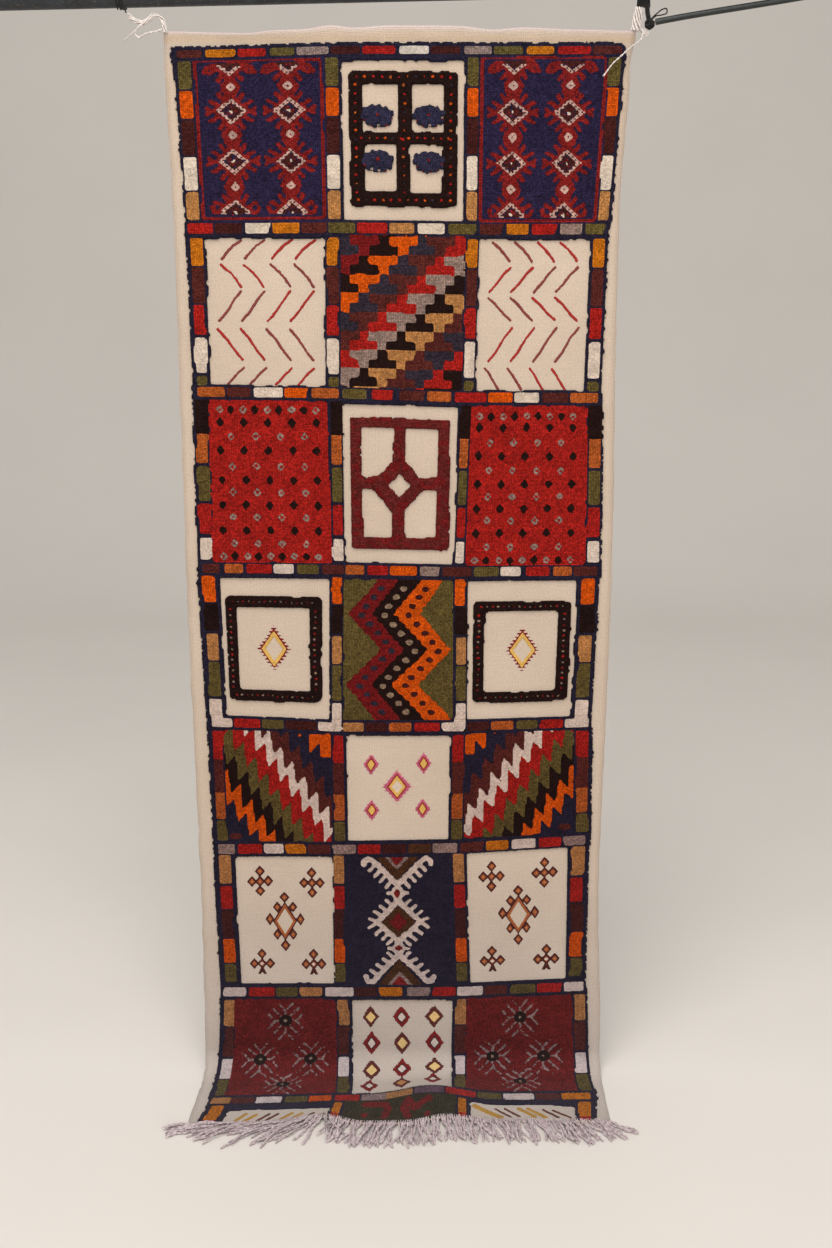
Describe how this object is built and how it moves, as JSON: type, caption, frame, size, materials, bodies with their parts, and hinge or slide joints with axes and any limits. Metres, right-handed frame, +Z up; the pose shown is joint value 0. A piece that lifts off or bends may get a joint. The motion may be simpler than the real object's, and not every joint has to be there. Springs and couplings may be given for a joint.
{
  "type": "taznakht rug hung from a pole",
  "caption": "Long hand-knotted wool rug, panels in pile and flat weave, tied by its top corners under a dark pipe, its fringed end turned forward on the ground.",
  "frame": {"origin": "point of the pole's axis above the middle of the rug, where whatever carries the pole holds the part up", "axes": "+X to the viewer's right along the rug's width, +Y away from the viewer, +Z up along the hanging rug"},
  "size_m": [1.5802, 0.2993, 2.2296],
  "materials": {
    "rug_wool": "matte hand-knotted and flat-woven wool in navy, red, maroon, orange, amber, olive, grey and cream",
    "fringe_yarn": "dusty off-white warp yarn, twisted",
    "pole_paint": "worn dark gloss paint with dirt flecks",
    "black_thread": "matte black woven strap and thread",
    "tie_yarn": "white wool yarn",
    "line_cover": "black-green glossy sheath"
  },
  "bodies": {
    "root": {"rug": "rug_wool", "fringe": "fringe_yarn", "pole": "pole_paint", "wrap_left": "black_thread", "tie_left": "tie_yarn", "tie_right": "tie_yarn", "strap_right": "black_thread", "side_line": "line_cover", "line_hitch": "line_cover"}
  },
  "joints": []
}
